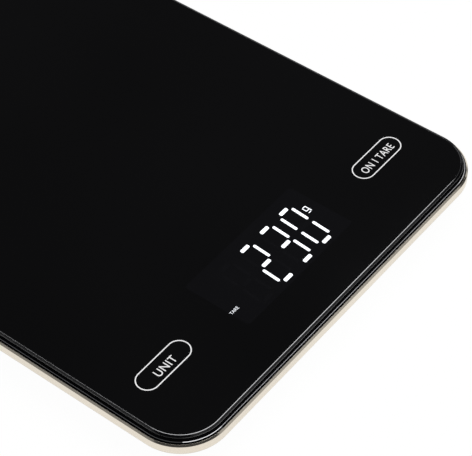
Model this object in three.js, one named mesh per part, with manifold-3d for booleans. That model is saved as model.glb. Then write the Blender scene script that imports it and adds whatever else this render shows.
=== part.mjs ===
// A flat electronic kitchen scale: a black glass platform on one load cell, set into the
// champagne aluminium rim of a shallow base.
// Millimetres. +X runs along the front edge to the right, +Y to the back, +Z up.
// The origin is on the table, under the middle of the scale.
import * as THREE from 'three';
import { mergeVertices } from 'three/addons/utils/BufferGeometryUtils.js';
import Module from 'manifold-3d';

const wasm = await Module();
wasm.setup();

// ---- driving dimensions ----
const WIDTH = 163.6;
const LENGTH = 223.6;
const HEIGHT = 16;
const CORNER_RADIUS = 17.4;
const CORNER_STEPS = 5;
const TRAVEL = 0.5;
const FIT_GAP = 0.3;
const STACK_GAP = 0.05;

const GLASS_THICKNESS = 3.8;
const GLASS_CHAMFER = 1.2;
const GLASS_INSET = 1.2;
const BONDING_THICKNESS = 0.3;
const PLATFORM_INSET = 13;
const PLATFORM_THICKNESS = 1.4;
const BOSS_RADIUS = 2.6;
const PILOT_RADIUS = 1.3;

const RIM_BOTTOM = 9.7;
const RIM_TOP = 13.6;
const RIM_CHAMFER = 0.6;
const RIM_WALL = 0.9;
const RIM_FLANGE_WIDTH = 11.5;
const RIM_FLANGE_HIGH = 10.7;

const BELLY_INSET = 15.8;
const BELLY_RADIUS = 8;
const BELLY_BEVEL = 1;
const BELLY_BOTTOM = 1.6;
const TRAY_FLOOR = 1.4;
const TRAY_WALL = 1.5;
const TRAY_FLANGE_INSET = 3;
const TRAY_FLANGE_THICKNESS = 1.2;
const TRAY_RIB_Y = [-30, 30];
const TRAY_RIB_HEIGHT = 1.6;

const CELL_LENGTH = 55;
const CELL_WIDTH = 12;
const CELL_HEIGHT = 6;
const CELL_BOTTOM = 3.7;
const CELL_SCREW_X = [14.5, 22.5];
const CELL_SPACER_LENGTH = 17;
const CELL_EYE_RADIUS = 2.1;
const CELL_EYE_SPACING = 12;
const CELL_SLOT = 1.2;
const CELL_HOLE_RADIUS = 2.3;
const CELL_HEAD_RADIUS = 3.2;
const CELL_SHANK_RADIUS = 2;

const DISPLAY_Y = -79.5;
const DISPLAY_WIDTH = 62;
const DISPLAY_DEPTH = 27;
const DISPLAY_THICKNESS = 2.6;
const TOUCH_X = 57.5;
const TOUCH_Y = -82;
const TOUCH_WIDTH = 11;
const TOUCH_DEPTH = 8;
const BOARD_WIDTH = 127;
const BOARD_DEPTH = 28;
const BOARD_LOW = 7.2;
const BOARD_HIGH = 8.8;
const BOARD_SCREW_X = 44;
const BOARD_SCREW_Y = 12;
const BOARD_SCREW_HEAD = 2.2;
const BOARD_SCREW_SHANK = 1;

const BATTERY_Y = 50;
const COIN_RADIUS = 10;
const COIN_THICKNESS = 3.2;
const COIN_X = 11;
const COIN_LOW = 3.1;
const POCKET_WIDTH = 47;
const POCKET_DEPTH = 24;
const POCKET_ROOF = 7.3;
const COVER_WIDTH = 51;
const COVER_DEPTH = 28;
const COVER_THICKNESS = 1.1;

const FOOT_X = 54;
const FOOT_Y = 84;
const FOOT_RADIUS = 7;
const FOOT_PLUG_RADIUS = 3;
const STOP_X = 57;
const STOP_Y = [-56, 62];
const RIM_HOLE_RADIUS = 1.5;
const RIM_SCREW_HEAD = 2.4;
const RIM_SCREW_SHANK = 1.2;
const RIM_SCREWS = [[-73, -68], [73, -68], [-73, 0], [73, 0], [-73, 68], [73, 68]];

const GLASS_BOTTOM = HEIGHT - GLASS_THICKNESS;
const PLATFORM_TOP = GLASS_BOTTOM - BONDING_THICKNESS - 2 * STACK_GAP;
const PLATFORM_BOTTOM = PLATFORM_TOP - PLATFORM_THICKNESS;
const CELL_TOP = CELL_BOTTOM + CELL_HEIGHT;
const FLOOR_TOP = BELLY_BOTTOM + TRAY_FLOOR;
const TRAY_FLANGE_HIGH = RIM_BOTTOM - STACK_GAP;
const TRAY_FLANGE_LOW = TRAY_FLANGE_HIGH - TRAY_FLANGE_THICKNESS;

// ---- materials ----
function paint(colour, roughness, metalness) {
  return new THREE.MeshStandardMaterial({ color: colour, roughness, metalness });
}

const BLACK_GLASS = paint(0x101013, 0.08, 0);
const CHAMPAGNE = paint(0xcfc4b2, 0.3, 0.9);
const FOAM = paint(0x2c2c2e, 0.9, 0);
const BLACK_PLASTIC = paint(0x1c1c1e, 0.55, 0);
const WHITE_PLASTIC = paint(0xe8e6df, 0.5, 0);
const BOARD_GREEN = paint(0x1e5a34, 0.5, 0);
const ALUMINIUM = paint(0xb9bcc0, 0.35, 0.9);
const STEEL = paint(0xa6a8ab, 0.3, 1);
const COPPER_FOAM = paint(0x77706a, 0.8, 0.3);
const RUBBER = paint(0x3a3a3c, 0.85, 0);
const SILICONE = paint(0xd9d5c8, 0.7, 0);
const LEAD = paint(0xb03024, 0.5, 0);

// ---- shape helpers ----
function roundedOutline(width, length, radius, centreX = 0, centreY = 0) {
  const right = centreX + width / 2 - radius;
  const left = centreX - width / 2 + radius;
  const back = centreY + length / 2 - radius;
  const front = centreY - length / 2 + radius;
  const quarter = Math.PI / 2;
  const shape = new THREE.Shape();
  shape.moveTo(left, front - radius);
  shape.absarc(right, front, radius, -quarter, 0, false);
  shape.absarc(right, back, radius, 0, quarter, false);
  shape.absarc(left, back, radius, quarter, 2 * quarter, false);
  shape.absarc(left, front, radius, 2 * quarter, 3 * quarter, false);
  return shape;
}

// The scale's outline moved inwards; the corners stay concentric.
function insetOutline(inset) {
  return roundedOutline(WIDTH - 2 * inset, LENGTH - 2 * inset, CORNER_RADIUS - inset);
}

function plate(shape, low, high, bevel = 0) {
  const geometry = new THREE.ExtrudeGeometry(shape, {
    depth: high - low - 2 * bevel,
    curveSegments: CORNER_STEPS,
    bevelEnabled: bevel > 0,
    bevelThickness: bevel,
    bevelSize: bevel,
    bevelOffset: -bevel,
    bevelSegments: 1,
  });
  return solid(geometry.translate(0, 0, low + bevel));
}

function block(width, depth, x, y, low, high) {
  const geometry = new THREE.BoxGeometry(width, depth, high - low);
  return solid(geometry.translate(x, y, (low + high) / 2));
}

function post(radius, x, y, low, high, steps = 16) {
  const geometry = new THREE.CylinderGeometry(radius, radius, high - low, steps);
  return solid(geometry.rotateX(Math.PI / 2).translate(x, y, (low + high) / 2));
}

// Merges the shared corners of a closed geometry, so that it can be cut and joined.
function solid(geometry) {
  const bare = geometry.clone();
  bare.deleteAttribute('normal');
  bare.deleteAttribute('uv');
  const merged = mergeVertices(bare);
  return new wasm.Manifold(new wasm.Mesh({
    numProp: 3,
    vertProperties: new Float32Array(merged.attributes.position.array),
    triVerts: new Uint32Array(merged.index.array),
  }));
}

function mesh(name, body, material) {
  const result = body.getMesh();
  const geometry = new THREE.BufferGeometry();
  geometry.setAttribute('position', new THREE.BufferAttribute(result.vertProperties, 3));
  geometry.setIndex(new THREE.BufferAttribute(result.triVerts, 1));
  geometry.computeVertexNormals();
  const piece = new THREE.Mesh(geometry, material);
  piece.name = name;
  return piece;
}

function union(bodies) {
  return bodies.reduce((whole, body) => whole.add(body));
}

function cut(body, cutters) {
  return cutters.reduce((left, cutter) => left.subtract(cutter), body);
}

// A pan-head screw: head at the bottom, shank up to the tip, cross recess in the head.
function screw(name, x, y, headRadius, shankRadius, headLow, headHigh, tip) {
  const slotWidth = headRadius * 0.32;
  const slotLength = headRadius * 1.15;
  const slotTop = headLow + (headHigh - headLow) * 0.55;
  const body = cut(union([
    post(headRadius, x, y, headLow, headHigh),
    post(shankRadius, x, y, headHigh - FIT_GAP, tip, 10),
  ]), [
    block(slotWidth, slotLength, x, y, headLow - 1, slotTop),
    block(slotLength, slotWidth, x, y, headLow - 1, slotTop),
  ]);
  return mesh(name, body, STEEL);
}

// ---- platform ----
function glassPlate() {
  const body = plate(insetOutline(GLASS_INSET), GLASS_BOTTOM, HEIGHT, GLASS_CHAMFER);
  return mesh('glass_plate', body, BLACK_GLASS);
}

// The openings that let the display and the two touch pads reach the glass.
function windowCutters() {
  const low = PLATFORM_BOTTOM - 1;
  const high = GLASS_BOTTOM;
  return [
    block(DISPLAY_WIDTH + 1, DISPLAY_DEPTH + 1, 0, DISPLAY_Y, low, high),
    block(TOUCH_WIDTH + 1, TOUCH_DEPTH + 1, -TOUCH_X, TOUCH_Y, low, high),
    block(TOUCH_WIDTH + 1, TOUCH_DEPTH + 1, TOUCH_X, TOUCH_Y, low, high),
  ];
}

function bondingSheet() {
  const low = PLATFORM_TOP + STACK_GAP;
  const body = cut(plate(insetOutline(PLATFORM_INSET + 1), low, low + BONDING_THICKNESS), windowCutters());
  return mesh('bonding_sheet', body, FOAM);
}

function platformTray() {
  const top = plate(insetOutline(PLATFORM_INSET), PLATFORM_BOTTOM, PLATFORM_TOP);
  const bosses = boardCorners().map(([x, y]) => (
    post(BOSS_RADIUS, x, y, BOARD_HIGH + STACK_GAP, PLATFORM_BOTTOM + STACK_GAP)
  ));
  const holes = [
    ...CELL_SCREW_X.map((x) => post(CELL_HOLE_RADIUS, x, 0, PLATFORM_BOTTOM - 1, PLATFORM_TOP + 1)),
    ...boardCorners().map(([x, y]) => post(PILOT_RADIUS, x, y, BOARD_HIGH - 1, PLATFORM_TOP - 0.5)),
  ];
  return mesh('platform_tray', cut(union([top, ...bosses]), [...holes, ...windowCutters()]), BLACK_PLASTIC);
}

function platformSpacer() {
  const x = CELL_LENGTH / 2 - CELL_SPACER_LENGTH / 2;
  const low = CELL_TOP + STACK_GAP;
  const high = PLATFORM_BOTTOM - STACK_GAP;
  const holes = CELL_SCREW_X.map((hole) => post(CELL_HOLE_RADIUS, hole, 0, low - 1, high + 1));
  return mesh('platform_spacer', cut(block(CELL_SPACER_LENGTH, CELL_WIDTH, x, 0, low, high), holes), STEEL);
}

function platformScrews() {
  const head = [CELL_BOTTOM - 1.2, CELL_BOTTOM - STACK_GAP];
  return CELL_SCREW_X.map((x, index) => screw(
    `platform_screw_${index + 1}`, x, 0, CELL_HEAD_RADIUS, CELL_SHANK_RADIUS, ...head, PLATFORM_TOP - 0.2));
}

// ---- display and electronics, hung under the platform ----
function boardCorners() {
  const corners = [];
  for (const x of [-BOARD_SCREW_X, BOARD_SCREW_X]) {
    for (const y of [DISPLAY_Y - BOARD_SCREW_Y, DISPLAY_Y + BOARD_SCREW_Y]) {
      corners.push([x, y]);
    }
  }
  return corners;
}

function displayModule() {
  const low = BOARD_HIGH + STACK_GAP;
  const body = block(DISPLAY_WIDTH, DISPLAY_DEPTH, 0, DISPLAY_Y, low, low + DISPLAY_THICKNESS);
  return mesh('display_module', body, WHITE_PLASTIC);
}

function displayDiffuser() {
  const low = BOARD_HIGH + DISPLAY_THICKNESS + 2 * STACK_GAP;
  const body = block(DISPLAY_WIDTH - 2, DISPLAY_DEPTH - 2, 0, DISPLAY_Y, low, GLASS_BOTTOM - STACK_GAP);
  return mesh('display_diffuser', body, BLACK_PLASTIC);
}

function mainBoard() {
  const shape = roundedOutline(BOARD_WIDTH, BOARD_DEPTH, BELLY_RADIUS - TRAY_WALL, 0, DISPLAY_Y);
  const holes = boardCorners().map(([x, y]) => post(1.5, x, y, BOARD_LOW - 1, BOARD_HIGH + 1));
  return mesh('main_board', cut(plate(shape, BOARD_LOW, BOARD_HIGH), holes), BOARD_GREEN);
}

function boardScrews() {
  const head = [BOARD_LOW - 1.1, BOARD_LOW - STACK_GAP];
  return boardCorners().map(([x, y], index) => screw(
    `board_screw_${index + 1}`, x, y, BOARD_SCREW_HEAD, BOARD_SCREW_SHANK, ...head, PLATFORM_BOTTOM + 0.5));
}

function controllerChip() {
  const body = block(10, 10, 0, DISPLAY_Y, BOARD_LOW - 1.2, BOARD_LOW - STACK_GAP);
  return mesh('controller_chip', body, BLACK_PLASTIC);
}

function leadConnector(name, x) {
  const y = DISPLAY_Y + BOARD_DEPTH / 2 - 3;
  return mesh(name, block(8, 5, x, y, BOARD_LOW - 2.6, BOARD_LOW - STACK_GAP), WHITE_PLASTIC);
}

function touchPad(name, x) {
  const body = block(TOUCH_WIDTH, TOUCH_DEPTH, x, TOUCH_Y, BOARD_HIGH + STACK_GAP, GLASS_BOTTOM - STACK_GAP);
  return mesh(name, body, COPPER_FOAM);
}

// ---- load cell ----
// An aluminium bar with two eyes joined by a slot, thinned there so that it bends.
function loadCell() {
  const middle = CELL_BOTTOM + CELL_HEIGHT / 2;
  const eyes = [-1, 1].map((side) => {
    const geometry = new THREE.CylinderGeometry(CELL_EYE_RADIUS, CELL_EYE_RADIUS, CELL_WIDTH + 2, 24);
    return solid(geometry.translate(side * CELL_EYE_SPACING / 2, 0, middle));
  });
  const slot = block(CELL_EYE_SPACING, CELL_WIDTH + 2, 0, 0, middle - CELL_SLOT / 2, middle + CELL_SLOT / 2);
  const holes = [];
  for (const x of CELL_SCREW_X) {
    holes.push(post(CELL_HOLE_RADIUS, x, 0, CELL_BOTTOM - 1, CELL_TOP + 1));
    holes.push(post(CELL_HOLE_RADIUS, -x, 0, CELL_BOTTOM - 1, CELL_TOP + 1));
  }
  const bar = block(CELL_LENGTH, CELL_WIDTH, 0, 0, CELL_BOTTOM, CELL_TOP);
  return mesh('load_cell', cut(bar, [...eyes, slot, ...holes]), ALUMINIUM);
}

function gaugeCover() {
  return mesh('gauge_cover', block(15, 10, 0, 0, FLOOR_TOP + 0.1, CELL_BOTTOM - STACK_GAP), SILICONE);
}

function cellScrews() {
  const head = [BELLY_BOTTOM + 0.1, BELLY_BOTTOM + 1];
  return CELL_SCREW_X.map((x, index) => screw(
    `cell_screw_${index + 1}`, -x, 0, CELL_HEAD_RADIUS, CELL_SHANK_RADIUS, ...head, CELL_TOP - 1));
}

// ---- base ----
// The rim: a flat outer wall, a bright chamfer round its top edge and an inner flange.
function baseRim() {
  const above = RIM_TOP + 1;
  const body = cut(plate(insetOutline(0), RIM_BOTTOM - 2, RIM_TOP, RIM_CHAMFER), [
    block(WIDTH + 2, LENGTH + 2, 0, 0, RIM_BOTTOM - 3, RIM_BOTTOM),
    plate(insetOutline(RIM_WALL), RIM_FLANGE_HIGH, above),
    plate(insetOutline(RIM_FLANGE_WIDTH), RIM_BOTTOM - 1, above),
    ...RIM_SCREWS.map(([x, y]) => post(RIM_HOLE_RADIUS, x, y, RIM_BOTTOM - 1, above)),
  ]);
  return mesh('base_rim', body, CHAMPAGNE);
}

// The battery housing: walls and a roof over a pocket that is open underneath.
function batteryHousing() {
  return block(COVER_WIDTH + 5, COVER_DEPTH + 5, 0, BATTERY_Y, BELLY_BOTTOM, POCKET_ROOF + 1);
}

function batteryPocketCutters() {
  const seat = FLOOR_TOP;
  return [
    block(COVER_WIDTH + 2 * FIT_GAP, COVER_DEPTH + 2 * FIT_GAP, 0, BATTERY_Y, BELLY_BOTTOM - 1, seat),
    block(POCKET_WIDTH, POCKET_DEPTH, 0, BATTERY_Y, seat - 0.1, POCKET_ROOF),
  ];
}

function bellyOutline(inset) {
  const total = 2 * (BELLY_INSET + inset);
  return roundedOutline(WIDTH - total, LENGTH - total, BELLY_RADIUS - inset);
}

function baseTray() {
  const flange = plate(insetOutline(TRAY_FLANGE_INSET), TRAY_FLANGE_LOW, TRAY_FLANGE_HIGH);
  const belly = plate(bellyOutline(0), BELLY_BOTTOM, TRAY_FLANGE_HIGH + BELLY_BEVEL, BELLY_BEVEL);
  const lidOff = block(WIDTH, LENGTH, 0, 0, TRAY_FLANGE_HIGH, TRAY_FLANGE_HIGH + 3);
  const hollow = plate(bellyOutline(TRAY_WALL), FLOOR_TOP, TRAY_FLANGE_HIGH + 3);
  const shell = cut(flange.add(belly), [lidOff, hollow]);
  const bosses = [
    block(CELL_SPACER_LENGTH, CELL_WIDTH + 4, -CELL_LENGTH / 2 + CELL_SPACER_LENGTH / 2, 0,
      BELLY_BOTTOM, CELL_BOTTOM - STACK_GAP),
    batteryHousing(),
  ];
  const holes = [...batteryPocketCutters()];
  for (const x of [-STOP_X, STOP_X]) {
    for (const y of STOP_Y) {
      bosses.push(post(3, x, y, BELLY_BOTTOM, PLATFORM_BOTTOM - TRAVEL));
    }
  }
  for (const y of TRAY_RIB_Y) {
    const low = FLOOR_TOP - 0.4;
    bosses.push(block(WIDTH - 2 * BELLY_INSET - TRAY_WALL, 1.2, 0, y, low, low + TRAY_RIB_HEIGHT));
  }
  for (const x of CELL_SCREW_X) {
    holes.push(post(CELL_HOLE_RADIUS, -x, 0, BELLY_BOTTOM - 1, CELL_TOP));
    holes.push(post(CELL_HEAD_RADIUS + FIT_GAP, -x, 0, BELLY_BOTTOM - 1, BELLY_BOTTOM + 1 + STACK_GAP));
    holes.push(post(CELL_HEAD_RADIUS + 2 * FIT_GAP, x, 0, BELLY_BOTTOM - 1, CELL_BOTTOM));
  }
  for (const [x, y] of footPlaces()) {
    holes.push(post(FOOT_PLUG_RADIUS + FIT_GAP, x, y, BELLY_BOTTOM - 1, FLOOR_TOP + 1));
  }
  for (const [x, y] of RIM_SCREWS) {
    holes.push(post(RIM_HOLE_RADIUS, x, y, TRAY_FLANGE_LOW - 1, TRAY_FLANGE_HIGH + 1));
  }
  return mesh('base_tray', cut(union([shell, ...bosses]), holes), BLACK_PLASTIC);
}

function rimScrews() {
  const head = [TRAY_FLANGE_LOW - 1.2, TRAY_FLANGE_LOW - STACK_GAP];
  return RIM_SCREWS.map(([x, y], index) => screw(
    `rim_screw_${index + 1}`, x, y, RIM_SCREW_HEAD, RIM_SCREW_SHANK, ...head, RIM_FLANGE_HIGH + 0.3));
}

function footPlaces() {
  return [[-FOOT_X, -FOOT_Y], [FOOT_X, -FOOT_Y], [-FOOT_X, FOOT_Y], [FOOT_X, FOOT_Y]];
}

// A rubber foot: a disc with a soft edge and a plug pushed through the floor.
function rubberFoot(name, x, y) {
  const top = BELLY_BOTTOM - STACK_GAP;
  const profile = [
    [0, 0], [FOOT_RADIUS - 0.8, 0], [FOOT_RADIUS - 0.2, 0.3], [FOOT_RADIUS, 0.9],
    [FOOT_RADIUS, top], [FOOT_PLUG_RADIUS, top], [FOOT_PLUG_RADIUS, FLOOR_TOP + 0.4], [0, FLOOR_TOP + 0.4],
  ].map(([radius, height]) => new THREE.Vector2(radius, height));
  const geometry = new THREE.LatheGeometry(profile, 24).rotateX(Math.PI / 2).translate(x, y, 0);
  return mesh(name, solid(geometry), RUBBER);
}

// ---- battery compartment ----
function coinCell(name, x) {
  const profile = [
    [0, 0], [8.6, 0], [8.9, 0.25], [COIN_RADIUS - 0.2, 0.35], [COIN_RADIUS, 0.6],
    [COIN_RADIUS, COIN_THICKNESS - 0.2], [COIN_RADIUS - 0.2, COIN_THICKNESS], [0, COIN_THICKNESS],
  ].map(([radius, height]) => new THREE.Vector2(radius, height));
  const geometry = new THREE.LatheGeometry(profile, 32).rotateX(Math.PI / 2);
  return mesh(name, solid(geometry.translate(x, BATTERY_Y, COIN_LOW)), STEEL);
}

function upperContact(name, x) {
  const low = COIN_LOW + COIN_THICKNESS + 0.1;
  return mesh(name, block(12, 6, x, BATTERY_Y, low, POCKET_ROOF - 0.1), STEEL);
}

function sideContact(name, side) {
  const x = side * (COIN_X + COIN_RADIUS + 1);
  return mesh(name, block(0.8, 8, x, BATTERY_Y, COIN_LOW + 0.2, COIN_LOW + COIN_THICKNESS), STEEL);
}

// The cover: a plate with finger grooves and a slit-out latch tongue at its front edge.
function batteryCover() {
  const high = FLOOR_TOP - 0.2;
  const low = high - COVER_THICKNESS;
  const front = BATTERY_Y - COVER_DEPTH / 2;
  const cutters = [];
  for (const side of [-1, 1]) {
    cutters.push(block(0.8, 9, side * 7, front + 4, low - 1, high + 1));
  }
  for (const row of [0, 1, 2]) {
    cutters.push(block(10, 0.8, 0, front + 3 + 1.8 * row, low - 1, low + 0.4));
  }
  const body = cut(block(COVER_WIDTH, COVER_DEPTH, 0, BATTERY_Y, low, high), cutters);
  return mesh('battery_cover', body, BLACK_PLASTIC);
}

// ---- leads ----
function lead(name, points, width, height, material) {
  const path = new THREE.CatmullRomCurve3(points.map(([x, y, z]) => new THREE.Vector3(x, y, z)));
  const section = new THREE.Shape();
  section.absellipse(0, 0, height / 2, width / 2, 0, 2 * Math.PI, false, 0);
  const geometry = new THREE.ExtrudeGeometry(section, { steps: 20, curveSegments: 4, extrudePath: path });
  return mesh(name, solid(geometry), material);
}

const CELL_LEAD_ROUTE = [[-3, -7, 6], [-4, -20, 6], [-12, -34, 6], [-20, -48, 5.9], [-20, -63.6, 5.9]];
const BATTERY_LEAD_ROUTE = [
  [29.5, 46, 5.6], [40, 36, 5.6], [42, 10, 5.6], [36, -34, 5.8], [20, -50, 5.9], [20, -63.6, 5.9],
];

// ---- assembly ----
const platform = new THREE.Group();
platform.add(
  glassPlate(),
  bondingSheet(),
  platformTray(),
  platformSpacer(),
  ...platformScrews(),
  displayModule(),
  displayDiffuser(),
  mainBoard(),
  ...boardScrews(),
  controllerChip(),
  leadConnector('cell_lead_connector', -20),
  leadConnector('battery_lead_connector', 20),
  touchPad('unit_touch_pad', -TOUCH_X),
  touchPad('tare_touch_pad', TOUCH_X),
);

const base = new THREE.Group();
base.add(
  baseRim(),
  baseTray(),
  ...rimScrews(),
  loadCell(),
  gaugeCover(),
  ...cellScrews(),
  lead('load_cell_lead', CELL_LEAD_ROUTE, 3.2, 1, WHITE_PLASTIC),
  lead('battery_lead', BATTERY_LEAD_ROUTE, 2.4, 1.2, LEAD),
  coinCell('coin_cell_left', -COIN_X),
  coinCell('coin_cell_right', COIN_X),
  upperContact('upper_contact_left', -COIN_X),
  upperContact('upper_contact_right', COIN_X),
  sideContact('side_contact_left', -1),
  sideContact('side_contact_right', 1),
  batteryCover(),
);
const FOOT_NAMES = ['foot_front_left', 'foot_front_right', 'foot_back_left', 'foot_back_right'];
footPlaces().forEach(([x, y], index) => base.add(rubberFoot(FOOT_NAMES[index], x, y)));

const scale = new THREE.Group();
scale.name = 'kitchen_scale';
scale.add(platform, base);
export default scale;
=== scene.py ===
import math

import bmesh
import bpy
import numpy as np
from mathutils import Matrix, Vector


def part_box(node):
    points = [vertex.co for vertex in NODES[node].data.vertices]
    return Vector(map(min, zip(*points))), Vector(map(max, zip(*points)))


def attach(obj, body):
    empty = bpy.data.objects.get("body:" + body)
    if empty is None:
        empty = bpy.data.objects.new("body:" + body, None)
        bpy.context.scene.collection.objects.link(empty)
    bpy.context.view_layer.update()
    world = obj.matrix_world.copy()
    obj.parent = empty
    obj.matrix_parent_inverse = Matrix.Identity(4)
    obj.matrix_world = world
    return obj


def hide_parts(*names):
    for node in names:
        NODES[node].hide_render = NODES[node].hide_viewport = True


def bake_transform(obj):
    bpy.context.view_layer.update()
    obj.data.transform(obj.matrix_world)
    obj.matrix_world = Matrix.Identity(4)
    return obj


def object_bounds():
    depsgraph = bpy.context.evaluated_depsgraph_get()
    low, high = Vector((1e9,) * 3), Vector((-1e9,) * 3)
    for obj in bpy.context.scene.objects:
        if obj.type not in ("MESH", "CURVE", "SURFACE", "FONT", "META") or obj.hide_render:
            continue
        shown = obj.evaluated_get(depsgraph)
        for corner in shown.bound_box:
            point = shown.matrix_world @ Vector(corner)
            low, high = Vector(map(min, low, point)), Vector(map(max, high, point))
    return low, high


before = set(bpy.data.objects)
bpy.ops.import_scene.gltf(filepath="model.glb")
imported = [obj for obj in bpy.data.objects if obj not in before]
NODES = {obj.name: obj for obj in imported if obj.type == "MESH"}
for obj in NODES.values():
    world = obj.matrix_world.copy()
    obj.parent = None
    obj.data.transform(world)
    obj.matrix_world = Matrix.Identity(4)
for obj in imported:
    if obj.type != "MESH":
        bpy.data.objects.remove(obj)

bl_info = {
    "name": "Glass Kitchen Scale",
    "version": (1, 0, 0),
    "blender": (4, 5, 0),
    "location": "View3D > Sidebar > Scale",
    "description": "Builds the finished surfaces of a flat glass kitchen scale",
    "category": "Add Mesh",
}

MM = 0.001
LOW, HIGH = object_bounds()
GLASS_LOW, GLASS_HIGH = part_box("glass_plate")
RIM_LOW, RIM_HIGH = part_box("base_rim")
RIM_REACH = 1.8 * MM
HALF_WIDTH = RIM_HIGH.x - RIM_REACH
HALF_LENGTH = RIM_HIGH.y - RIM_REACH
CORNER_RADIUS = 15.6 * MM
PRINT_TOP = GLASS_HIGH.z
GLASS_TOP = PRINT_TOP - 0.05 * MM
PRINT_FOOT = GLASS_TOP - 0.02 * MM
PRINT_THICKNESS = 0.012 * MM
WELD_DISTANCE = 0.002 * MM
SHARP_ANGLE = math.radians(24)
NOISE_DARK, NOISE_LIGHT = 0.3, 0.7


# ---------------------------------------------------------------- properties
def length(name, description, millimetres):
    return bpy.props.FloatProperty(
        name=name, description=description, default=millimetres * MM, unit="LENGTH", precision=5)


def colour(name, description, rgb):
    return bpy.props.FloatVectorProperty(
        name=name, description=description, default=rgb, subtype="COLOR", size=3, min=0, max=1)


class ScaleSizes(bpy.types.PropertyGroup):
    glass_polish: length("Glass polish width", "Width of the polished band round the glass's top", 0.88)
    glass_drop: length("Glass polish drop", "Height lost across the polished band", 0.38)
    glass_round: length("Glass rounding", "Radius where the polished band meets the glass's top", 0.5)
    glass_bulge: length("Glass bead", "How far the bead half way down the glass's side stands out", 0.66)
    rim_chamfer: length("Rim chamfer", "Width of the bright-cut chamfer on the metal rim", 0.62)
    rim_drop: length("Rim chamfer drop", "Height lost across the rim's chamfer", 0.5)
    rim_round: length("Rim rounding", "Radius of the chamfer's two edges", 0.06)
    rim_wall: length("Rim wall", "Thickness of the rim's outer wall", 0.88)
    rim_flange: length("Rim flange", "Reach of the rim's inner flange", 11.4)
    digit_height: length("Digit height", "Distance between the top and bottom bars of a digit", 18.95)
    digit_width: length("Digit width", "Distance between the left and right bars of a digit", 6.1)
    digit_pitch: length("Digit pitch", "Distance from one digit to the next", 10.55)
    bar_flat: length("Level bar thickness", "Thickness of a digit's level bars", 1.45)
    bar_upright: length("Upright bar thickness", "Thickness of a digit's upright bars", 1.08)
    key_half_straight: length("Key half length", "Half of the straight part of a key outline", 7.57)
    key_radius: length("Key radius", "Radius of a key outline's round ends", 3.97)
    key_line: length("Key line", "Width of a key outline's line", 0.38)
    letter_height: length("Letter height", "Height of the capitals on the keys", 3.0)


class ScaleColours(bpy.types.PropertyGroup):
    glass: colour("Glass", "Black glass", (0.0052, 0.0052, 0.0058))
    metal: colour("Metal", "Champagne anodised rim", (0.77, 0.705, 0.6))
    plastic: colour("Plastic", "Black moulded base", (0.017, 0.017, 0.018))
    rubber: colour("Rubber", "Feet", (0.03, 0.03, 0.031))
    ink: colour("Ink", "White print", (0.86, 0.86, 0.87))
    light: colour("Light", "Lit segments", (0.93, 0.96, 1.0))
    floor: colour("Floor", "Table top", (0.07, 0.07, 0.07))


def sizes():
    return bpy.context.scene.scale_sizes


def colours():
    return bpy.context.scene.scale_colours


# ---------------------------------------------------------------- materials
def link(tree, source, output, target, socket):
    tree.links.new(source.outputs[output], target.inputs[socket])


def new_material(name, rgb, metallic=0.0, roughness=0.5, **sockets):
    """A Principled material; further sockets are set by name, with _ for a space."""
    material = bpy.data.materials.new(name)
    material.use_nodes = True
    tree = material.node_tree
    shader = tree.nodes["Principled BSDF"]
    shader.inputs["Base Color"].default_value = (*rgb, 1)
    shader.inputs["Metallic"].default_value = metallic
    shader.inputs["Roughness"].default_value = roughness
    for key, value in sockets.items():
        shader.inputs[key.replace("_", " ")].default_value = value
    material.diffuse_color = (*rgb, 1)
    return material, tree, shader


def object_noise(tree, scale, stretch=(1, 1, 1), detail=4.0, roughness=0.55):
    """Noise over Object coordinates, stretched along the axes by stretch."""
    place = tree.nodes.new("ShaderNodeTexCoord")
    mapping = tree.nodes.new("ShaderNodeMapping")
    mapping.inputs["Scale"].default_value = stretch
    noise = tree.nodes.new("ShaderNodeTexNoise")
    noise.inputs["Scale"].default_value = scale
    noise.inputs["Detail"].default_value = detail
    noise.inputs["Roughness"].default_value = roughness
    link(tree, place, "Object", mapping, "Vector")
    link(tree, mapping, "Vector", noise, "Vector")
    return noise


def vary_roughness(tree, shader, noise, low, high):
    """Roughness from low to high as the noise goes from its dark to its light places."""
    ramp = tree.nodes.new("ShaderNodeMapRange")
    ramp.inputs["From Min"].default_value = NOISE_DARK
    ramp.inputs["From Max"].default_value = NOISE_LIGHT
    ramp.inputs["To Min"].default_value = low
    ramp.inputs["To Max"].default_value = high
    link(tree, noise, "Fac", ramp, "Value")
    link(tree, ramp, "Result", shader, "Roughness")


def vary_colour(tree, shader, noise, dark, light):
    """Colour from dark to light as the noise goes from its dark to its light places."""
    ramp = tree.nodes.new("ShaderNodeValToRGB")
    ramp.color_ramp.elements[0].position = NOISE_DARK
    ramp.color_ramp.elements[0].color = (*dark, 1)
    ramp.color_ramp.elements[1].position = NOISE_LIGHT
    ramp.color_ramp.elements[1].color = (*light, 1)
    link(tree, noise, "Fac", ramp, "Fac")
    link(tree, ramp, "Color", shader, "Base Color")


def add_bump(tree, shader, noise, strength, distance):
    bump = tree.nodes.new("ShaderNodeBump")
    bump.inputs["Strength"].default_value = strength
    bump.inputs["Distance"].default_value = distance
    link(tree, noise, "Fac", bump, "Height")
    link(tree, bump, "Normal", shader, "Normal")


def shade(rgb, factor):
    return tuple(min(1.0, value * factor) for value in rgb)


def textured(name, rgb, metallic, roughness, grain, spread=0.12, bump=0.25, depth=0.00004,
             stretch=(1, 1, 1), **sockets):
    """A finish with grain: the colour and roughness drift slowly, and a fine bump gives the texture."""
    material, tree, shader = new_material(name, rgb, metallic, roughness, **sockets)
    slow = object_noise(tree, 35, detail=3)
    fine = object_noise(tree, grain, stretch, detail=5)
    vary_colour(tree, shader, slow, shade(rgb, 1 - spread), shade(rgb, 1 + spread))
    vary_roughness(tree, shader, fine, roughness * 0.85, roughness * 1.15)
    add_bump(tree, shader, fine, bump, depth)
    return material


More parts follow.
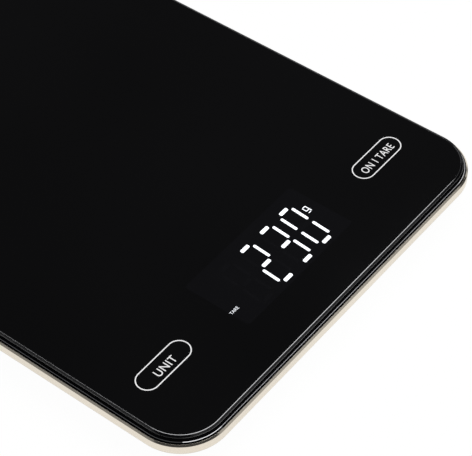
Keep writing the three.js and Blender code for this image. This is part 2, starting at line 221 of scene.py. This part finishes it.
def polished_glass():
    """Black glass: a near-black body under a clear surface with a trace of handling marks."""
    material, tree, shader = new_material("polished_glass", tuple(colours().glass), 0, 0.05, IOR=1.42)
    vary_roughness(tree, shader, object_noise(tree, 22, detail=6), 0.03, 0.075)
    vary_colour(tree, shader, object_noise(tree, 9, detail=2),
                shade(colours().glass, 0.85), shade(colours().glass, 1.2))
    return material


def ground_edge():
    """The blackened, finely ground side of the glass."""
    return textured("ground_glass_edge", (0.0025, 0.0025, 0.003), 0, 0.4, 2600, bump=0.15,
                    Specular_IOR_Level=0.0)


def upper_arris_painted_highlight():
    """The fine line where the glass's top turns into the polished band: it catches real light, and its grey
    metallic colour adds a painted highlight.
    """
    return textured("upper_arris_painted_highlight", (0.46, 0.46, 0.47), 1, 0.1, 900, bump=0.04)


def lower_arris():
    """The fine line where the polished band turns down into the glass's side."""
    return textured("lower_arris", (0.004, 0.004, 0.004), 0, 0.1, 900, bump=0.04, IOR=2.35)


def polished_band():
    """The sloping polished band between the two fine lines."""
    return textured("polished_band", (0.004, 0.004, 0.005), 0, 0.12, 900, bump=0.04,
                    Specular_IOR_Level=0.15)


def bead_painted_highlight():
    """The bead half way down the glass's side, given a near-white metallic colour: a painted highlight."""
    return textured("bead_painted_highlight", (0.78, 0.78, 0.8), 1, 0.06, 900, bump=0.02)


def champagne(name, roughness, factor=1.0, bump=0.2):
    """Anodised aluminium: a fine bead-blast grain over a slow drift of tone."""
    return textured(name, shade(colours().metal, factor), 1, roughness, 4200, spread=0.025, bump=bump,
                    depth=0.000012)


def moulded_black():
    return textured("moulded_black", tuple(colours().plastic), 0, 0.5, 3000, bump=0.5, depth=0.00005)


def foot_rubber():
    return textured("foot_rubber", tuple(colours().rubber), 0, 0.78, 1800, bump=0.4, depth=0.00005)


def steel(name, roughness):
    """Plated steel with a faint brushed grain."""
    return textured(name, (0.56, 0.56, 0.57), 1, roughness, 900, bump=0.12, stretch=(1, 6, 1))


def white_ink_painted_glow():
    # The white print also emits light at 0.55: a painted glow, since print gives no light.
    return textured("white_ink_painted_glow", tuple(colours().ink), 0, 0.45, 3500, spread=0.03, bump=0.05,
                    Emission_Color=(1, 1, 1, 1), Emission_Strength=0.55)


def lit_segment():
    """A lit segment: white light that is very slightly uneven along the bar."""
    material, tree, shader = new_material("lit_segment", tuple(colours().light), 0, 0.4)
    shader.inputs["Emission Strength"].default_value = 1.15
    ramp = tree.nodes.new("ShaderNodeValToRGB")
    ramp.color_ramp.elements[0].position = 0.25
    ramp.color_ramp.elements[0].color = (*shade(colours().light, 0.92), 1)
    ramp.color_ramp.elements[1].position = 0.75
    ramp.color_ramp.elements[1].color = (*colours().light, 1)
    link(tree, object_noise(tree, 260), "Fac", ramp, "Fac")
    link(tree, ramp, "Color", shader, "Emission Color")
    return material


# ---------------------------------------------------------------- surfaces
def round_outline(steps=28):
    """Arc centres and outward directions round the scale's outline, anticlockwise from above.
    The point at offset o from the glass's outline is centre + direction * (corner radius + o)."""
    quarter = np.linspace(0, math.pi / 2, steps)
    start = np.pi * np.array([1.0, 1.5, 0.0, 0.5])
    angle = (start[:, None] + quarter[None, :]).ravel()
    side_x = np.array([-1, 1, 1, -1]) * (HALF_WIDTH - CORNER_RADIUS)
    side_y = np.array([-1, -1, 1, 1]) * (HALF_LENGTH - CORNER_RADIUS)
    centre = np.stack([np.repeat(side_x, steps), np.repeat(side_y, steps)], axis=1)
    return centre, np.stack([np.cos(angle), np.sin(angle)], axis=1)


def eased_profile(corners, radii, closed, steps=6):
    """Points and normals of an outline in (offset, height) whose corners are rounded.
    Each corner is an arc tangent to both sides, and the normal turns along the arc. The outside
    of the material lies to the left of the direction of travel. A radius of 0 keeps an open end.
    The third result numbers the bands: 2i for the arc at corner i, 2i + 1 for the flat after it."""
    corners = np.asarray(corners, float)
    count = len(corners)
    points, normals, owner = [], [], []
    for index, radius in enumerate(radii):
        here = corners[index]
        ahead = corners[(index + 1) % count] - here
        behind = here - corners[index - 1]
        if not closed and index == 0:
            behind = ahead
        if not closed and index == count - 1:
            ahead = behind
        behind, ahead = behind / np.linalg.norm(behind), ahead / np.linalg.norm(ahead)
        turn = math.atan2(behind[0] * ahead[1] - behind[1] * ahead[0], behind @ ahead)
        angle = turn * np.linspace(0, 1, steps if radius else 1)
        side = np.array([-behind[1], behind[0]])
        normal = np.stack([side[0] * np.cos(angle) - side[1] * np.sin(angle),
                           side[0] * np.sin(angle) + side[1] * np.cos(angle)], axis=1)
        bulge = -math.copysign(radius, turn)
        centre = here - behind * radius * math.tan(abs(turn) / 2) - side * bulge
        points.append(centre + normal * bulge)
        normals.append(normal)
        owner.extend([2 * index] * (len(angle) - 1) + [2 * index + 1])
    return np.concatenate(points), np.concatenate(normals), np.array(owner)


def fill_mesh(name, vertices, quads, caps=(), materials=(), slots=None, normals=None, smooth=True):
    """A new piece from arrays: vertices (n, 3), quads (m, 4) and lists of ring indices as caps."""
    mesh = bpy.data.meshes.new(name)
    mesh.from_pydata(vertices.tolist(), [], quads.tolist() + [list(cap) for cap in caps])
    for material in materials:
        mesh.materials.append(material)
    if slots is not None:
        mesh.polygons.foreach_set("material_index", np.concatenate([slots, np.zeros(len(caps), int)]))
    mesh.polygons.foreach_set("use_smooth", np.full(len(mesh.polygons), smooth))
    if normals is not None:
        mesh.normals_split_custom_set_from_vertices(normals.tolist())
    mesh.update()
    piece = bpy.data.objects.new(name, mesh)
    bpy.context.scene.collection.objects.link(piece)
    return piece


def sweep_round(name, corners, radii, closed, materials, bands, steps=28):
    """Carries a rounded profile round the scale's outline; bands lists (arc, flat) materials by corner.
    A point is arc centre + direction * (corner radius + offset), at the profile's height; an open
    profile is closed by a flat face inside its first and its last ring."""
    profile, profile_normals, owner = eased_profile(corners, radii, closed)
    centre, direction = round_outline(steps)
    rows, columns = len(profile), len(centre)
    plan = centre[None] + direction[None] * (CORNER_RADIUS + profile[:, None, :1])
    height = np.broadcast_to(profile[:, None, 1:], (rows, columns, 1))
    vertices = np.concatenate([plan, height], axis=2).reshape(-1, 3)
    normals = np.concatenate([direction[None] * profile_normals[:, None, :1],
                              np.broadcast_to(profile_normals[:, None, 1:], (rows, columns, 1))], axis=2)
    row = np.arange(rows if closed else rows - 1)
    column = np.arange(columns)
    first = row[:, None] * columns + column[None]
    below = ((row + 1) % rows)[:, None] * columns + column[None]
    turn = np.roll(column, -1)
    quads = np.stack([first, below, below[:, turn], first[:, turn]], axis=2).reshape(-1, 4)
    caps = [] if closed else [column, (rows - 1) * columns + column[::-1]]
    slots = np.repeat(np.ravel(bands)[owner[row]], columns)
    return fill_mesh(name, vertices, quads, caps, materials, slots, normals.reshape(-1, 3))


def prism(name, outlines, low, high, material):
    """Flat bars: each outline (n, 2), anticlockwise, becomes a closed bar from low to high."""
    vertices, quads, caps, start = [], [], [], 0
    for outline in outlines:
        count = len(outline)
        ring = np.arange(count)
        turn = np.roll(ring, -1)
        bottom = np.column_stack([outline, np.full(count, low)])
        top = np.column_stack([outline, np.full(count, high)])
        vertices.extend([bottom, top])
        quads.append(start + np.stack([ring, turn, turn + count, ring + count], axis=1))
        caps.extend([start + ring[::-1], start + count + ring])
        start += 2 * count
    return fill_mesh(name, np.concatenate(vertices), np.concatenate(quads), caps, [material], smooth=False)


def ring_prism(name, outer, inner, low, high, material):
    """A flat closed band between two outlines of the same number of points, low to high."""
    count = len(outer)
    ring = np.arange(count)
    turn = np.roll(ring, -1)
    loops = [np.column_stack([outer, np.full(count, low)]), np.column_stack([outer, np.full(count, high)]),
             np.column_stack([inner, np.full(count, high)]), np.column_stack([inner, np.full(count, low)])]
    quads = []
    for index in range(4):
        here, there = index * count, (index + 1) % 4 * count
        quads.append(np.stack([here + ring, here + turn, there + turn, there + ring], axis=1))
    return fill_mesh(name, np.concatenate(loops), np.concatenate(quads), (), [material], smooth=False)


def rounded_box(half_length, half_width, radius, steps=6):
    """Outline of a rectangle with round corners about the origin, anticlockwise."""
    quarter = np.linspace(0, math.pi / 2, steps)
    angle = (np.pi * np.array([1.0, 1.5, 0.0, 0.5])[:, None] + quarter[None]).ravel()
    corner_x = np.repeat(np.array([-1, 1, 1, -1]) * (half_length - radius), steps)
    corner_y = np.repeat(np.array([-1, -1, 1, 1]) * (half_width - radius), steps)
    return np.stack([corner_x + radius * np.cos(angle), corner_y + radius * np.sin(angle)], axis=1)


def lathe(name, profile, centre, material, steps=48, sharp_degrees=28):
    """Turns a profile of (radius, height) about the vertical through centre.
    The profile starts and ends on the axis, where each end closes in one point."""
    profile = np.asarray(profile, float)
    body = profile[1:-1]
    angle = np.linspace(0, 2 * math.pi, steps, endpoint=False)
    around = np.stack([np.cos(angle), np.sin(angle)], axis=1)
    rows = len(body)
    plan = around[None] * body[:, None, :1] + np.asarray(centre)[None, None]
    rings = np.concatenate([plan, np.broadcast_to(body[:, None, 1:], (rows, steps, 1))], axis=2)
    tips = np.array([[*centre, profile[0, 1]], [*centre, profile[-1, 1]]])
    vertices = np.concatenate([rings.reshape(-1, 3), tips])
    column = np.arange(steps)
    turn = np.roll(column, -1)
    row = np.arange(rows - 1)[:, None] * steps
    quads = np.stack([row + column, row + turn, row + steps + turn, row + steps + column], axis=2)
    first_tip, last_tip = rows * steps, rows * steps + 1
    edge = (rows - 1) * steps
    fans = np.concatenate([np.stack([np.full(steps, first_tip), turn, column], axis=1),
                           np.stack([np.full(steps, last_tip), edge + column, edge + turn], axis=1)])
    piece = fill_mesh(name, vertices, quads.reshape(-1, 4), fans, [material])
    piece.data.set_sharp_from_angle(angle=math.radians(sharp_degrees))
    return piece


def merged_copy(node, name, material):
    """The CAD piece again as one welded mesh, smooth where it turns by less than SHARP_ANGLE."""
    mesh = NODES[node].data.copy()
    mesh.name = name
    mesh.materials.clear()
    shape = bmesh.new()
    shape.from_mesh(mesh)
    bmesh.ops.remove_doubles(shape, verts=shape.verts, dist=WELD_DISTANCE)
    bmesh.ops.dissolve_limit(shape, angle_limit=math.radians(1), verts=shape.verts, edges=shape.edges)
    shape.to_mesh(mesh)
    shape.free()
    mesh.materials.append(material)
    mesh.polygons.foreach_set("material_index", np.zeros(len(mesh.polygons), int))
    mesh.shade_smooth()
    mesh.set_sharp_from_angle(angle=SHARP_ANGLE)
    piece = bpy.data.objects.new(name, mesh)
    bpy.context.scene.collection.objects.link(piece)
    return piece


def eased_copy(node, name, width, material, body):
    """The CAD piece again, with its edges broken by a small round, standing for the CAD node."""
    piece = merged_copy(node, name, material)
    bevel = piece.modifiers.new("edges", "BEVEL")
    bevel.width = width
    bevel.segments = 2
    bevel.limit_method = "ANGLE"
    bevel.angle_limit = SHARP_ANGLE
    bevel.harden_normals = True
    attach(piece, body)
    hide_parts(node)
    return piece


def finish_piece(piece, body, slot, *nodes):
    """Fixes a new piece to its body and hides the CAD nodes it stands for; slot is not used."""
    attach(piece, body)
    if nodes:
        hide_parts(*nodes)


def paint_nodes(names, material):
    """Gives the carried-over CAD nodes one finish."""
    for name in names:
        data = NODES[name].data
        data.materials.clear()
        data.materials.append(material)


# ---------------------------------------------------------------- print and digits
def lettering(name, text, length, height, centre, material, weight=0.0, tracking=1.0):
    """Printed lettering as a thin closed mesh: the text is scaled to its length and height, then placed."""
    curve = bpy.data.curves.new(name, "FONT")
    curve.body = text
    curve.align_x = "CENTER"
    curve.space_character = tracking
    curve.offset = weight
    curve.extrude = 0.01
    holder = bpy.data.objects.new(name, curve)
    bpy.context.scene.collection.objects.link(holder)
    bpy.context.view_layer.update()
    mesh = bpy.data.meshes.new_from_object(holder.evaluated_get(bpy.context.evaluated_depsgraph_get()))
    bpy.data.objects.remove(holder)
    corners = np.empty(len(mesh.vertices) * 3)
    mesh.vertices.foreach_get("co", corners)
    corners = corners.reshape(-1, 3)
    low, high = corners.min(0), corners.max(0)
    factor = np.array([length, height]) / (high - low)[:2]
    middle = (low + high) / 2
    corners[:, :2] = (corners[:, :2] - middle[:2]) * factor
    depth = (high[2] - corners[:, 2]) / (high[2] - low[2])
    corners[:, 2] = PRINT_TOP - depth * PRINT_THICKNESS
    corners[:, :2] += np.asarray(centre)
    mesh.vertices.foreach_set("co", corners.ravel())
    mesh.materials.clear()
    mesh.materials.append(material)
    mesh.update()
    piece = bpy.data.objects.new(name, mesh)
    bpy.context.scene.collection.objects.link(piece)
    return piece


DISPLAY_X = 6.13 * MM
DISPLAY_Y = -81.48 * MM
SLANT = 0.068
LEVEL_BAR_HALF = 1.95 * MM
UPRIGHT_BAR_HALF = 3.6 * MM
BAR_ROUND = 0.5 * MM
UPRIGHT_PLACE = 0.485
SEGMENTS = "abcdefg"
DIGIT_SEGMENTS = {"0": "abcdef", "2": "abged", "3": "abgcd", "8": "abcdefg"}


def digit_bars(digit, place):
    """Outlines of the bars of one digit, at its place counted from the middle digit.
    Each bar is a rounded rectangle; the whole digit leans by SLANT of its height."""
    size = sizes()
    tall, wide = size.digit_height / 2, size.digit_width / 2
    level = rounded_box(LEVEL_BAR_HALF, size.bar_flat / 2, BAR_ROUND)
    upright = rounded_box(size.bar_upright / 2, UPRIGHT_BAR_HALF, BAR_ROUND)
    mid = tall * UPRIGHT_PLACE
    places = {"a": (level, 0, tall), "g": (level, 0, 0), "d": (level, 0, -tall),
              "b": (upright, wide, mid), "c": (upright, wide, -mid),
              "e": (upright, -wide, -mid), "f": (upright, -wide, mid)}
    bars = []
    for segment in SEGMENTS:
        if segment in DIGIT_SEGMENTS[digit]:
            outline, x, y = places[segment]
            moved = outline + [x, y]
            moved[:, 0] += SLANT * moved[:, 1] + DISPLAY_X + place * size.digit_pitch
            moved[:, 1] += DISPLAY_Y
            bars.append(moved)
    return bars


def gram_mark(x, y, tall=2.9 * MM, wide=1.55 * MM, line=0.32 * MM):
    """Outlines of a narrow letter g: five bars make a square bowl with a hooked tail under its right side."""
    middle = y + tall * 0.18
    half_wide, half_bowl = wide / 2, tall * 0.32
    bars = [(x - half_wide, middle, line, 2 * half_bowl), (x + half_wide, y, line, tall),
            (x, middle + half_bowl, wide - line, line), (x, middle - half_bowl, wide - line, line),
            (x - line / 2, y - tall / 2, wide - line, line)]
    return [rounded_box(across / 2, up / 2, 0.08 * MM, 3) + [middle_x + SLANT * (middle_y - y), middle_y]
            for middle_x, middle_y, across, up in bars]


def unlit_bars(digit, place):
    """The bars of a whole figure eight that the digit leaves dark."""
    lit = DIGIT_SEGMENTS[digit] if digit else ""
    whole = digit_bars("8", place)
    return [bar for segment, bar in zip(SEGMENTS, whole) if segment not in lit]


# ---------------------------------------------------------------- operators
class StageOperator(bpy.types.Operator):
    """Table top, studio lights and camera"""
    bl_idname = "scale.stage"
    bl_label = "Stage"

    def execute(self, context):
        scene = context.scene
        scene.view_settings.view_transform = "Standard"
        scene.view_settings.look = "None"
        floor_material = glowing_floor()
        corners = np.array([[-6, -6, 0], [6, -6, 0], [6, 6, 0], [-6, 6, 0]], float)
        floor = fill_mesh("table_top", corners, np.array([[0, 1, 2, 3]]), materials=[floor_material])
        world_sky(scene)
        softbox("overhead", (0.32, -0.1, 0.9), (0.32, -0.1, 0), (0.84, 0.8), 1.4)
        softbox("low_card", (-0.35, -1.2, 0.33), (-0.35, 0, 0.33), (2.1, 0.46), 1.15)
        softbox("right_card", (0.63, -0.9, 0.68), (0, 0, 0), (0.75, 0.35), 0.36)
        softbox("far_right_card", (1.2, -0.2, 0.35), (0, 0, 0), (0.8, 0.4), 0.5)
        softbox("left_ceiling", (-0.4, 0.41, 0.9), (-0.4, 0.41, 0), (0.3, 0.34), 1.2)
        softbox("left_card", (-0.85, 0.5, 0.6), (0, 0, 0), (0.7, 0.6), 0.2)
        place_camera(scene)
        return {"FINISHED"}


def glowing_floor():
    """A white table top that glows evenly, so that hardly any shadow shows on it."""
    material, tree, shader = new_material("table_top", tuple(colours().floor), 0, 0.6)
    shader.inputs["Specular IOR Level"].default_value = 0.1
    shader.inputs["Emission Color"].default_value = (1, 1, 1, 1)
    shader.inputs["Emission Strength"].default_value = 0.97
    vary_roughness(tree, shader, object_noise(tree, 60), 0.55, 0.65)
    return material


def world_sky(scene):
    """A dark studio with a pale horizon: brightness falls off as the direction rises."""
    world = bpy.data.worlds.new("studio")
    scene.world = world
    world.use_nodes = True
    tree = world.node_tree
    place = tree.nodes.new("ShaderNodeTexCoord")
    split = tree.nodes.new("ShaderNodeSeparateXYZ")
    ramp = tree.nodes.new("ShaderNodeValToRGB")
    ramp.color_ramp.elements[0].position = 0.0
    ramp.color_ramp.elements[0].color = (0.85, 0.85, 0.86, 1)
    ramp.color_ramp.elements[1].position = 0.1
    ramp.color_ramp.elements[1].color = (0.06, 0.06, 0.062, 1)
    link(tree, place, "Generated", split, "Vector")
    link(tree, split, "Z", ramp, "Fac")
    link(tree, ramp, "Color", tree.nodes["Background"], "Color")


def softbox(name, place, target, size, radiance):
    """A rectangular lamp facing its target, whose face shines with the given radiance."""
    lamp = bpy.data.lights.new(name, "AREA")
    lamp.shape = "RECTANGLE"
    lamp.size, lamp.size_y = size
    lamp.energy = radiance * size[0] * size[1] * math.pi
    holder = bpy.data.objects.new(name, lamp)
    holder.location = place
    holder.rotation_euler = (Vector(target) - Vector(place)).to_track_quat("-Z", "Y").to_euler()
    bpy.context.scene.collection.objects.link(holder)


def place_camera(scene):
    """A long lens from the front left, 47 degrees above the table, rolled slightly clockwise."""
    azimuth, elevation, roll = (math.radians(a) for a in (-50.62, 47.21, 1.543))
    target = Vector((1.656 * MM, -63.96 * MM, HIGH.z + 0.2 * MM))
    distance = 0.65098
    back = Vector((math.sin(azimuth) * math.cos(elevation), -math.cos(azimuth) * math.cos(elevation),
                   math.sin(elevation)))
    lens = bpy.data.cameras.new("camera")
    lens.sensor_width = 36
    lens.lens = 148.47
    camera = bpy.data.objects.new("camera", lens)
    camera.location = target + back * distance
    camera.rotation_mode = "QUATERNION"
    facing = (-back).to_track_quat("-Z", "Y")
    camera.rotation_quaternion = facing @ Matrix.Rotation(-roll, 3, "Z").to_quaternion()
    scene.collection.objects.link(camera)
    scene.camera = camera


class GlassOperator(bpy.types.Operator):
    """Black glass platform: a narrow polished band round the top, and a bead half way down its dark side; the
    fine line at the band's top and the bead carry painted highlights in their colour
    """
    bl_idname = "scale.glass"
    bl_label = "Glass"

    def execute(self, context):
        size = sizes()
        low, top, reach = GLASS_LOW.z, GLASS_TOP, size.glass_bulge
        face_edge = -8 * MM
        bead_top = (low + top) / 2 + 0.2 * MM
        bead_lip, bead_drop, bead_depth = 0.13 * MM, 0.193 * MM, 0.7 * MM
        foot_rise, foot_inset = 0.4 * MM, 0.7 * MM
        corners = [(face_edge, top), (-size.glass_polish, top), (0, top - size.glass_drop),
                   (reach - bead_lip, bead_top), (reach, bead_top - bead_drop),
                   (reach, bead_top - bead_depth), (0, low + foot_rise), (-foot_inset, low),
                   (face_edge, low)]
        radii = [0, size.glass_round, 0.2 * MM, 0.03 * MM, 0.05 * MM, 0.1 * MM, 0.1 * MM, 0.2 * MM, 0]
        # The upper arris and the bead get bright metallic colours on glass: painted highlights.
        materials = [polished_glass(), ground_edge(), upper_arris_painted_highlight(), polished_band(), bead_painted_highlight(),
                     lower_arris()]
        face, ground, upper_line_painted_highlight, band, painted_bead_highlight, lower_line = range(6)
        bands = [(face, face), (upper_line_painted_highlight, band), (lower_line, ground), (ground, painted_bead_highlight)]
        bands += [(ground, ground)] * 5
        piece = sweep_round("black_glass_top", corners, radii, False, materials, bands)
        finish_piece(piece, "platform", "black_glass", "glass_plate")
        return {"FINISHED"}


class RimOperator(bpy.types.Operator):
    """Champagne metal rim with a satin wall and a bright-cut chamfer; its inside, the top of its wall and the
    round at its foot are darkened as painted shade
    """
    bl_idname = "scale.rim"
    bl_label = "Rim"

    def execute(self, context):
        size = sizes()
        top, low, outer = RIM_HIGH.z, RIM_LOW.z, RIM_REACH
        inner, flange = outer - size.rim_wall, outer - size.rim_flange
        flange_top = low + 1 * MM
        wall_lean = 0.03 * MM
        top_round, foot_round, flange_round = 0.08 * MM, 0.28 * MM, 0.1 * MM
        corners = [(inner, top), (outer - size.rim_chamfer, top), (outer - wall_lean, top - size.rim_drop),
                   (outer, low), (flange, low), (flange, flange_top), (inner, flange_top)]
        radii = [top_round, size.rim_round, size.rim_round, foot_round] + [flange_round] * 3
        materials = [champagne("champagne_satin", 0.3), champagne("champagne_bright", 0.14, bump=0.05),
                     # Near-black on the rim's inner wall and the top of its wall: painted shade of the gap
                     # under the glass, not the metal's colour.
                     textured("rim_inside_painted_shade", (0.02, 0.019, 0.017), 0, 0.6, 1800),
                     # The round at the foot of the wall: champagne darkened to 0.6, a painted shade line.
                     champagne("champagne_painted_shade_edge", 0.4, 0.6)]
        satin, bright, inside, painted_shade_edge = range(4)
        bands = [(inside, inside), (bright, bright), (satin, satin), (painted_shade_edge, satin), (satin, satin),
                 (satin, satin), (inside, inside)]
        piece = sweep_round("champagne_rim", corners, radii, True, materials, bands)
        finish_piece(piece, "base", "champagne_metal", "base_rim")
        return {"FINISHED"}


class DisplayOperator(bpy.types.Operator):
    """Display window with its lit and unlit segments and small marks"""
    bl_idname = "scale.display"
    bl_label = "Display"

    def execute(self, context):
        pane = textured("display_pane", (0.0066, 0.0066, 0.0084), 0, 0.06, 500, bump=0.02)
        ghost = textured("unlit_segment", (0.008, 0.008, 0.0102), 0, 0.08, 700, bump=0.02)
        light = lit_segment()
        pane_top, ghost_top, lit_top = (GLASS_TOP + rise * MM for rise in (0.012, 0.022, 0.036))
        window = rounded_box(28.3 * MM, 13.3 * MM, 1.2 * MM) + [-0.6 * MM, -80 * MM]
        finish_piece(prism("display_window", [window], PRINT_FOOT, pane_top, pane), "platform", "black_glass")
        reading = [("", -2), ("2", -1), ("3", 0), ("0", 1)]
        dark = [bar for digit, place in reading for bar in unlit_bars(digit, place)]
        finish_piece(prism("unlit_segments", dark, PRINT_FOOT, ghost_top, ghost), "platform", "black_glass")
        lit = [bar for digit, place in reading[1:] for bar in digit_bars(digit, place)]
        finish_piece(prism("lit_digits", lit, PRINT_FOOT, lit_top, light), "platform", "white_plastic")
        gram = gram_mark(22.98 * MM, -77.6 * MM)
        finish_piece(prism("lit_unit_mark", gram, PRINT_FOOT, lit_top, light), "platform", "white_plastic")
        tare_place = (-26.97 * MM, -85.77 * MM)
        tare_mark = lettering("lit_tare_mark", "TARE", 3.8 * MM, 1.2 * MM, tare_place, light, weight=-0.012)
        finish_piece(tare_mark, "platform", "white_plastic")
        return {"FINISHED"}


class KeysOperator(bpy.types.Operator):
    """Printed outlines and words of the two touch keys"""
    bl_idname = "scale.keys"
    bl_label = "Keys"

    def execute(self, context):
        size = sizes()
        ink = white_ink_painted_glow()
        line_top = PRINT_TOP - 0.01 * MM
        row = -82.0
        keys = (("unit", "UNIT", -58.1, 9.1, (-58.02, -82.72)),
                ("tare", "ON I TARE", 57.3, 16.7, (57.14, -82.45)))
        for name, word, place, word_length, word_place in keys:
            outer, inner = [key_loop(edge) + np.array([place, row]) * MM
                            for edge in (size.key_line / 2, -size.key_line / 2)]
            outline = ring_prism(f"{name}_key_outline", outer, inner, PRINT_FOOT, line_top, ink)
            finish_piece(outline, "platform", "white_plastic")
            word_piece = lettering(f"{name}_key_word", word, word_length * MM, size.letter_height,
                                   np.array(word_place) * MM, ink, tracking=1.08)
            finish_piece(word_piece, "platform", "white_plastic")
        return {"FINISHED"}


def key_loop(edge, sliver=1e-7):
    """Outline of a key with half-round ends, moved outward by edge; sliver keeps its end points apart."""
    size = sizes()
    radius = size.key_radius + edge
    return rounded_box(size.key_half_straight + radius, radius, radius - sliver, 20)


class BaseOperator(bpy.types.Operator):
    """Black mouldings: the base tray, the platform tray and the battery cover"""
    bl_idname = "scale.base"
    bl_label = "Base"

    def execute(self, context):
        black = moulded_black()
        edge_width = 0.22 * MM
        mouldings = (("base_tray", "moulded_base", "base"), ("platform_tray", "moulded_platform", "platform"),
                     ("battery_cover", "ribbed_cover", "battery_cover"))
        for node, name, body in mouldings:
            eased_copy(node, name, edge_width, black, body)
        return {"FINISHED"}


# A foot's section as (radius, height) in millimetres, from the hollow in its sole up to its peg.
FOOT_SECTION = ((0, 0.35), (2.2, 0.35), (2.5, 0.05), (3.1, 0), (5.6, 0), (6.3, 0.12), (6.8, 0.5), (7, 1.0),
                (6.95, 1.4), (6.7, 1.55), (3, 1.55), (3, 3.3), (2.9, 3.4), (0, 3.4))


class FeetOperator(bpy.types.Operator):
    """Four rubber feet"""
    bl_idname = "scale.feet"
    bl_label = "Feet"

    def execute(self, context):
        rubber = foot_rubber()
        for node in ("foot_front_left", "foot_front_right", "foot_back_left", "foot_back_right"):
            low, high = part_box(node)
            centre = ((low.x + high.x) / 2, (low.y + high.y) / 2)
            piece = lathe(node.replace("foot", "rubber_foot"), np.array(FOOT_SECTION) * MM, centre, rubber)
            finish_piece(piece, "base", "foot_rubber", node)
        return {"FINISHED"}


class CellOperator(bpy.types.Operator):
    """Load cell and its potted gauges, as welded copies of the CAD pieces"""
    bl_idname = "scale.cell"
    bl_label = "Load cell"

    def execute(self, context):
        aluminium = textured("milled_aluminium", (0.62, 0.63, 0.64), 1, 0.36, 500, stretch=(1, 9, 1))
        silicone = textured("potting_silicone", (0.62, 0.6, 0.52), 0, 0.6, 400)
        flexing = (("load_cell", "flexing_load_cell", aluminium, "cell_aluminium"),
                   ("gauge_cover", "potted_gauges", silicone, "gauge_silicone"))
        for node, name, material, slot in flexing:
            piece = merged_copy(node, name, material)
            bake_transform(piece)
            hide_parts(node)
        return {"FINISHED"}


class InsideOperator(bpy.types.Operator):
    """Finishes of the screws, spacer, contacts, electronics, touch pads, bonding sheet, cells and leads"""
    bl_idname = "scale.inside"
    bl_label = "Inside"

    def execute(self, context):
        screws = [name for name in NODES if "screw" in name]
        contacts = [name for name in NODES if "contact" in name]
        paint_nodes(screws + ["platform_spacer"], steel("screw_steel", 0.3))
        paint_nodes(contacts + ["coin_cell_left", "coin_cell_right"], steel("cell_steel", 0.22))
        paint_nodes(["main_board"], textured("board_green", (0.012, 0.09, 0.035), 0, 0.35, 700, spread=0.25))
        paint_nodes(["controller_chip"], textured("chip_epoxy", (0.012, 0.012, 0.013), 0, 0.6, 2500))
        paint_nodes(["display_module", "cell_lead_connector", "battery_lead_connector"],
                    textured("white_moulding", (0.75, 0.74, 0.7), 0, 0.45, 2200))
        paint_nodes(["display_diffuser"], textured("smoked_diffuser", (0.02, 0.02, 0.024), 0, 0.25, 900))
        paint_nodes(["unit_touch_pad", "tare_touch_pad"],
                    textured("conductive_foam", (0.13, 0.11, 0.1), 0, 0.9, 1500))
        paint_nodes(["bonding_sheet"], textured("foam_tape", (0.02, 0.02, 0.02), 0, 0.85, 2600))
        paint_nodes(["load_cell_lead"],
                    textured("lead_white", (0.7, 0.69, 0.65), 0, 0.5, 1500, stretch=(1, 0.1, 1)))
        paint_nodes(["battery_lead"], textured("lead_red", (0.45, 0.025, 0.018), 0, 0.5, 1500))
        return {"FINISHED"}


class ScalePanel(bpy.types.Panel):
    """Lists the steps that build the scale"""
    bl_idname = "VIEW3D_PT_kitchen_scale"
    bl_label = "Kitchen Scale"
    bl_space_type = "VIEW_3D"
    bl_region_type = "UI"
    bl_category = "Scale"

    def draw(self, context):
        for operator in OPERATORS:
            self.layout.operator(operator.bl_idname)
        for group in (context.scene.scale_sizes, context.scene.scale_colours):
            for key in group.__annotations__:
                self.layout.prop(group, key)


OPERATORS = [StageOperator, GlassOperator, RimOperator, DisplayOperator, KeysOperator, BaseOperator,
             FeetOperator, CellOperator, InsideOperator]
CLASSES = [ScaleSizes, ScaleColours, *OPERATORS, ScalePanel]


def register():
    for item in CLASSES:
        bpy.utils.register_class(item)
    bpy.types.Scene.scale_sizes = bpy.props.PointerProperty(type=ScaleSizes)
    bpy.types.Scene.scale_colours = bpy.props.PointerProperty(type=ScaleColours)


def unregister():
    del bpy.types.Scene.scale_colours
    del bpy.types.Scene.scale_sizes
    for item in reversed(CLASSES):
        bpy.utils.unregister_class(item)


def main():
    register()
    for operator in OPERATORS:
        family, action = operator.bl_idname.split(".")
        getattr(getattr(bpy.ops, family), action)()


if __name__ == "__main__":
    main()
